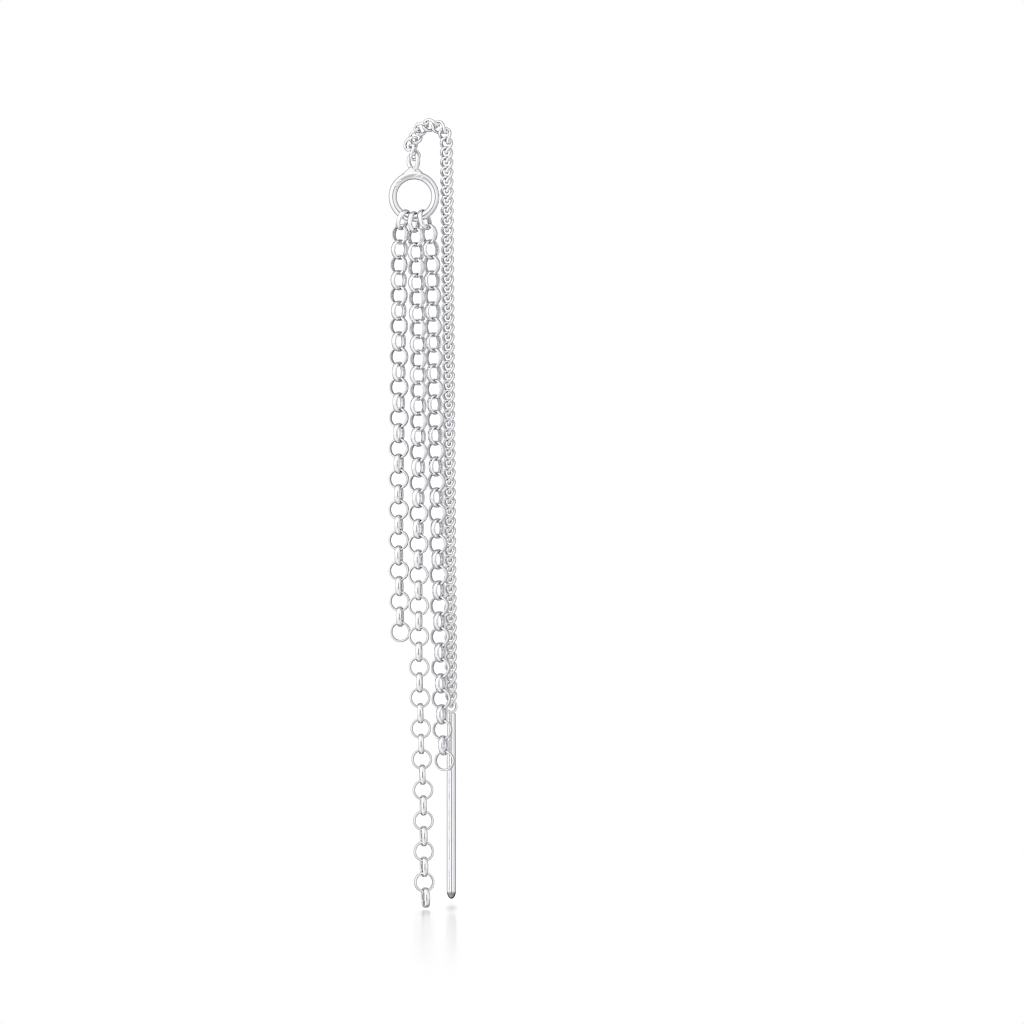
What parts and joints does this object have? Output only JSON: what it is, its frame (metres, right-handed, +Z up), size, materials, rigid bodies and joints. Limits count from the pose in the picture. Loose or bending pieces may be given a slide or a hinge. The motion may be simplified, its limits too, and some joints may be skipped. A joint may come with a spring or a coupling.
{
  "type": "ear chain",
  "caption": "Threader earring: a pin on a fine chain that passes over the ear, with a drop ring that holds strands of round links of different lengths.",
  "frame": {"origin": "top of the fine chain's arch, where it passes through the ear's piercing", "axes": "+Z up along the hanging chains, +X to the right as seen from the front, +Y away from the viewer"},
  "size_m": [0.007, 0.0039, 0.0789],
  "materials": {
    "silver": "polished"
  },
  "bodies": {
    "root": {"drop_ring": "silver", "curb_chain": "silver", "threader_pin": "silver", "strand_short": "silver", "strand_long": "silver", "strand_medium": "silver"}
  },
  "joints": []
}
